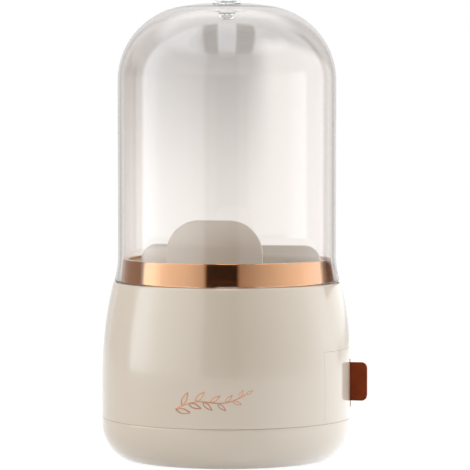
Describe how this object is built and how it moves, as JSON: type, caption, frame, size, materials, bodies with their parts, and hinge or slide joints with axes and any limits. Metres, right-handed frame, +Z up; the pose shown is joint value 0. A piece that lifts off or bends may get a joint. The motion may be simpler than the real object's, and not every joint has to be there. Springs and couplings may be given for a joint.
{
  "type": "rotating makeup storage box",
  "caption": "Round storage box: foot with a turning body, side drawer with a leather pull, organiser cup with panels in the neck and a clear lift-off dome.",
  "frame": {"origin": "middle of the pad's lower face, on the turning axis, where the box rests", "axes": "+Z up along the turning axis, +X the way the drawer opens, -Y the front with the short cells"},
  "size_m": [0.162, 0.1518, 0.28],
  "materials": {
    "shell_plastic": "warm cream, glossy, moulded",
    "inner_plastic": "warm cream, satin, moulded",
    "clear_plastic": "clear, polished",
    "ring_metal": "rose gold plating, mirror polish",
    "pull_leather": "rust brown, smooth, painted edges",
    "pad_rubber": "soft, matt",
    "race_plastic": "moulded, self-lubricating",
    "screw_steel": "zinc plated",
    "ball_steel": "polished"
  },
  "bodies": {
    "foot": {"foot_pan": "shell_plastic", "anti_slip_pad": "pad_rubber", "lower_race": "race_plastic", "lower_race_screws": "screw_steel", "pivot_pin": "screw_steel", "retaining_washer": "screw_steel", "retaining_screw": "screw_steel"},
    "cage": {"ball_cage": "race_plastic", "bearing_balls": "ball_steel"},
    "body": {"body_shell": "shell_plastic", "body_floor": "inner_plastic", "floor_screws": "screw_steel", "upper_race": "race_plastic", "upper_race_screws": "screw_steel", "trim_ring": "ring_metal", "deck_frame": "inner_plastic", "deck_screws": "screw_steel", "organiser_cup": "inner_plastic", "front_panel": "inner_plastic", "cell_panels": "inner_plastic", "middle_panel": "inner_plastic", "cross_panel": "inner_plastic"},
    "drawer": {"drawer_tray": "inner_plastic", "drawer_front": "shell_plastic", "front_screws": "screw_steel", "pull_tab": "pull_leather", "tab_pin": "screw_steel"},
    "dome": {"dome_cover": "clear_plastic", "dome_knob": "clear_plastic"}
  },
  "joints": [
    {"name": "body_turn", "type": "hinge", "parent": "foot", "child": "body", "pos_m": [0, 0, 0.0183], "axis": [0, 0, 1], "continuous": true},
    {"name": "cage_turn", "type": "hinge", "parent": "foot", "child": "cage", "pos_m": [0, 0, 0.0183], "axis": [0, 0, 1], "continuous": true},
    {"name": "drawer_slide", "type": "slide", "parent": "body", "child": "drawer", "axis": [1, 0, 0], "range_m": [0, 0.085]},
    {"name": "dome_lift", "type": "slide", "parent": "body", "child": "dome", "axis": [0, 0, 1], "range_m": [0, 0.2]}
  ],
  "couplings": [
    {"joint": "cage_turn", "follows": "body_turn", "ratio": 0.5}
  ]
}
